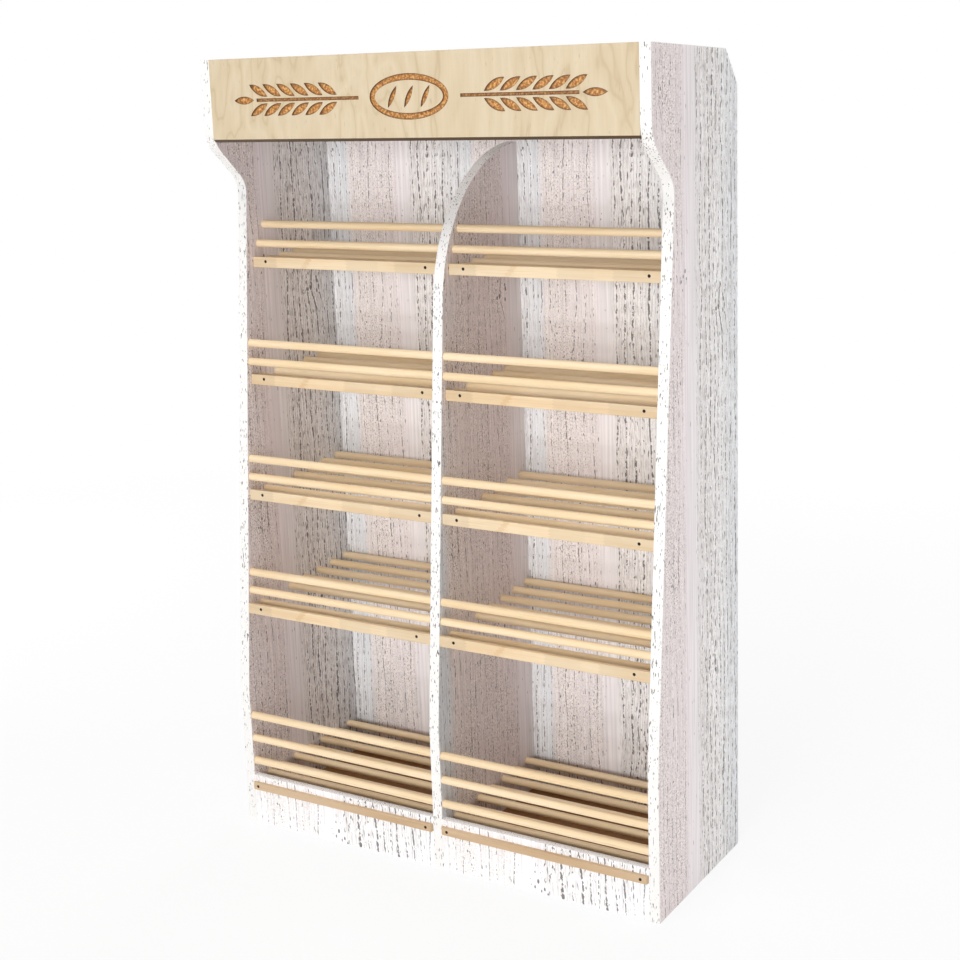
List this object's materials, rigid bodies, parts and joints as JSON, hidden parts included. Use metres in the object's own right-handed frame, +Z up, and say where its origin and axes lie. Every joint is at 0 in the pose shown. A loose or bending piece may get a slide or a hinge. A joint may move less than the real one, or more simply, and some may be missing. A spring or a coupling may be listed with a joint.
{
  "type": "bakery bread rack",
  "caption": "Tall free-standing wooden bread rack with curved side panels, sloping rod shelves in two bays, lip rods, a plinth and a header board with a routed wheat motif.",
  "frame": {"origin": "floor under the middle of the rack: centre of the bounding box at its base", "axes": "+Z up, +X across the rack to the viewer's right, +Y from the open front to the back"},
  "size_m": [1.244, 0.459, 2],
  "materials": {
    "whitewashed_wood": "satin",
    "whitewashed_back": "satin",
    "sign_plywood": "satin",
    "pine": "satin",
    "beech_dowel": "matte",
    "dark_steel": "satin"
  },
  "bodies": {
    "root": {"back_panel": "whitewashed_back", "back_panel_screws": "dark_steel", "bottom_board_left": "pine", "bottom_board_right": "pine", "bottom_cleats": "pine", "center_divider": "whitewashed_wood", "cleat_screws": "dark_steel", "corner_block_dowels": "beech_dowel", "corner_blocks_left": "pine", "corner_blocks_right": "pine", "floor_rods_left_1": "pine", "floor_rods_left_2": "pine", "floor_rods_left_3": "pine", "floor_rods_left_4": "pine", "floor_rods_left_bin": "pine", "floor_rods_right_1": "pine", "floor_rods_right_2": "pine", "floor_rods_right_3": "pine", "floor_rods_right_4": "pine", "floor_rods_right_bin": "pine", "front_board_left_1": "pine", "front_board_left_2": "pine", "front_board_left_3": "pine", "front_board_left_4": "pine", "front_board_right_1": "pine", "front_board_right_2": "pine", "front_board_right_3": "pine", "front_board_right_4": "pine", "front_board_screws": "dark_steel", "left_side_panel": "whitewashed_wood", "lip_rods_left_1": "pine", "lip_rods_left_2": "pine", "lip_rods_left_3": "pine", "lip_rods_left_4": "pine", "lip_rods_left_bin": "pine", "lip_rods_right_1": "pine", "lip_rods_right_2": "pine", "lip_rods_right_3": "pine", "lip_rods_right_4": "pine", "lip_rods_right_bin": "pine", "plinth_board_left": "whitewashed_wood", "plinth_board_right": "whitewashed_wood", "plinth_dowels": "beech_dowel", "plinth_slat_left": "pine", "plinth_slat_right": "pine", "right_side_panel": "whitewashed_wood", "sign_board": "sign_plywood", "sign_board_dowels": "beech_dowel", "slat_screws": "dark_steel", "top_panel": "whitewashed_wood", "top_panel_dowels": "beech_dowel"}
  },
  "joints": []
}
